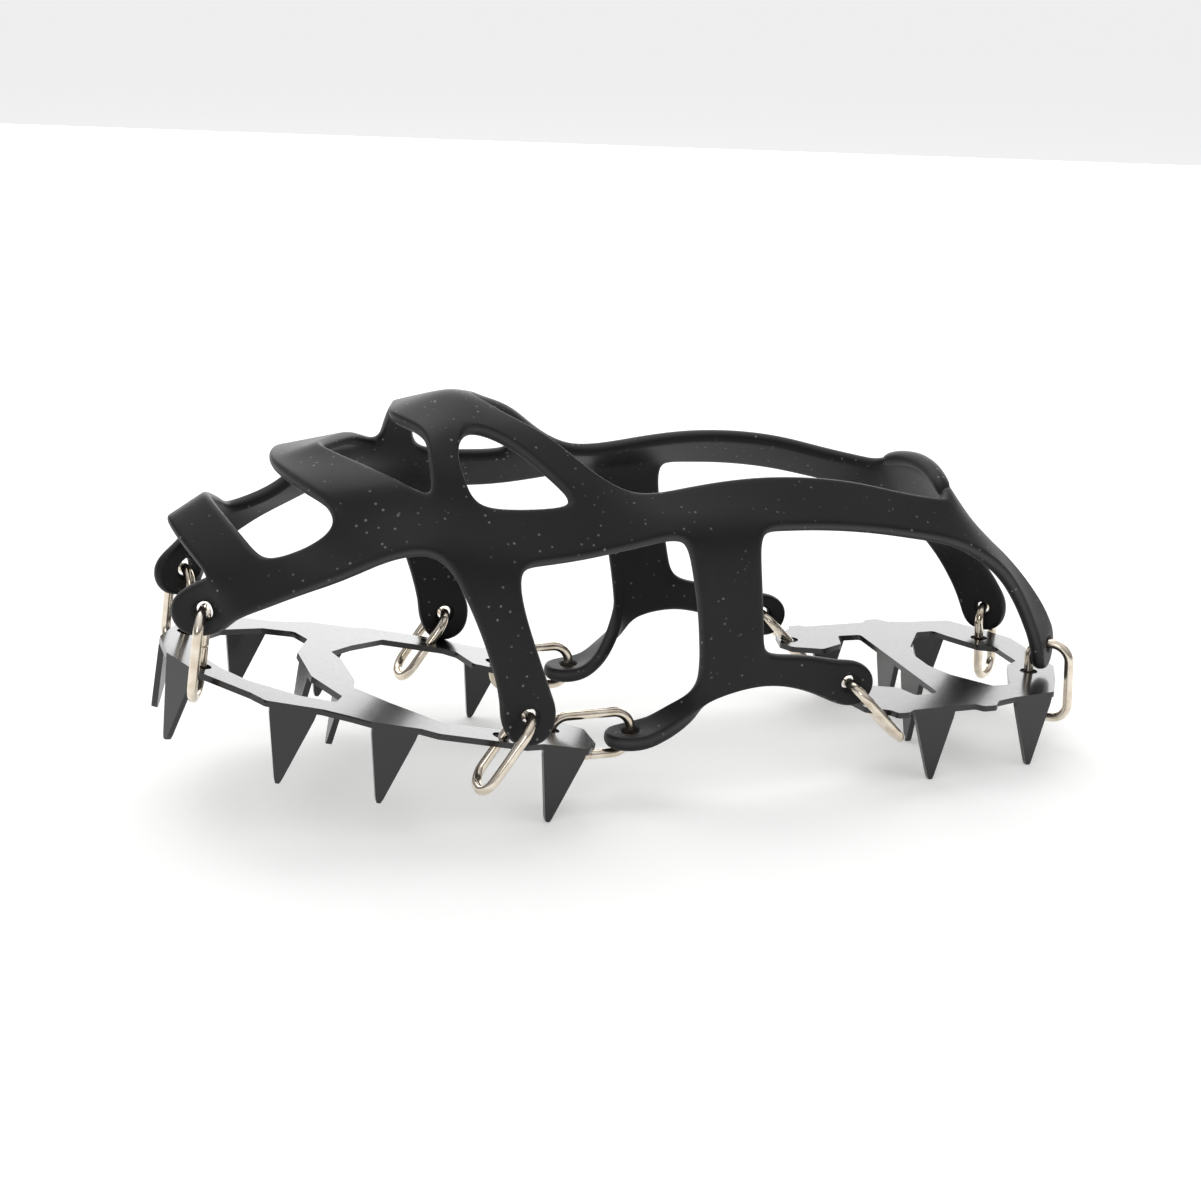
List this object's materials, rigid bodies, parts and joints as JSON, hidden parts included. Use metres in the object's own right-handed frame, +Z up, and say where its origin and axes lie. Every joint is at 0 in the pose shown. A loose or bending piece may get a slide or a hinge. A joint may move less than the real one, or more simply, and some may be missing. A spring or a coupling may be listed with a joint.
{
  "type": "microspikes",
  "caption": "Slip-on traction device: an elastic boot harness with spiked steel plates under ball and heel, hung from it by wire links.",
  "frame": {"origin": "on the floor under the spike tips, midway along the overall length and across the width", "axes": "+X from toe to heel, +Y to the wearer's side called right here, +Z up"},
  "size_m": [0.2358, 0.0944, 0.1001],
  "materials": {
    "elastomer": "matte moulded elastomer with fine dust",
    "black_steel": "black gloss coated stamped steel",
    "nickel_wire": "bright nickel-plated wire"
  },
  "bodies": {
    "forefoot": {"front_plate": "black_steel", "harness_forefoot": "elastomer", "harness_arch_left": "elastomer", "harness_arch_right": "elastomer"},
    "heel": {"heel_plate": "black_steel", "harness_heel": "elastomer"},
    "toe_link_left": {"toe_link_left": "nickel_wire"},
    "toe_link_right": {"toe_link_right": "nickel_wire"},
    "ball_link_left": {"ball_link_left": "nickel_wire"},
    "ball_link_right": {"ball_link_right": "nickel_wire"},
    "arch_front_link_left": {"arch_front_link_left": "nickel_wire"},
    "arch_front_link_right": {"arch_front_link_right": "nickel_wire"},
    "arch_rear_link_left": {"arch_rear_link_left": "nickel_wire"},
    "arch_rear_link_right": {"arch_rear_link_right": "nickel_wire"},
    "heel_link_left": {"heel_link_left": "nickel_wire"},
    "heel_link_right": {"heel_link_right": "nickel_wire"}
  },
  "joints": [
    {"name": "arch_flex", "type": "hinge", "parent": "forefoot", "child": "heel", "pos_m": [0.0165, 0, 0.0449], "axis": [0, -1, 0], "range_deg": [-12, 25], "stiffness_Nm_per_rad": 1.2, "deforming": ["harness_arch_left", "harness_arch_right"]},
    {"name": "toe_link_left_swivel", "type": "hinge", "parent": "forefoot", "child": "toe_link_left", "pos_m": [-0.10852, -0.01281, 0.03681], "axis": [0.0013, -0.332, 0.9433], "range_deg": [0, 12]},
    {"name": "toe_link_right_swivel", "type": "hinge", "parent": "forefoot", "child": "toe_link_right", "pos_m": [-0.10852, 0.01281, 0.03681], "axis": [0.0013, 0.332, 0.9433], "range_deg": [-12, 0]},
    {"name": "ball_link_left_swivel", "type": "hinge", "parent": "forefoot", "child": "ball_link_left", "pos_m": [-0.04204, -0.0354, 0.02182], "axis": [0.4713, -0.587, 0.6583], "range_deg": [-12, 12]},
    {"name": "ball_link_right_swivel", "type": "hinge", "parent": "forefoot", "child": "ball_link_right", "pos_m": [-0.04204, 0.0354, 0.02182], "axis": [0.4713, 0.587, 0.6583], "range_deg": [-12, 12]},
    {"name": "arch_front_link_left_swivel", "type": "hinge", "parent": "forefoot", "child": "arch_front_link_left", "pos_m": [-0.0271, -0.0255, 0.01846], "axis": [0.9975, 0, -0.0705], "range_deg": [-12, 12]},
    {"name": "arch_front_link_right_swivel", "type": "hinge", "parent": "forefoot", "child": "arch_front_link_right", "pos_m": [-0.0271, 0.0255, 0.01846], "axis": [0.9975, 0, -0.0705], "range_deg": [-12, 12]},
    {"name": "arch_rear_link_left_swivel", "type": "hinge", "parent": "heel", "child": "arch_rear_link_left", "pos_m": [0.05663, -0.0245, 0.01865], "axis": [-0.5984, -0.4787, 0.6424], "range_deg": [-12, 2]},
    {"name": "arch_rear_link_right_swivel", "type": "hinge", "parent": "heel", "child": "arch_rear_link_right", "pos_m": [0.05663, 0.0245, 0.01865], "axis": [-0.5984, 0.4787, 0.6424], "range_deg": [-2, 12]},
    {"name": "heel_link_left_swivel", "type": "hinge", "parent": "heel", "child": "heel_link_left", "pos_m": [0.10888, -0.01417, 0.01865], "axis": [0.308, -0.3274, 0.8933], "range_deg": [-12, 12]},
    {"name": "heel_link_right_swivel", "type": "hinge", "parent": "heel", "child": "heel_link_right", "pos_m": [0.10888, 0.01417, 0.01865], "axis": [0.308, 0.3274, 0.8933], "range_deg": [-12, 12]}
  ]
}
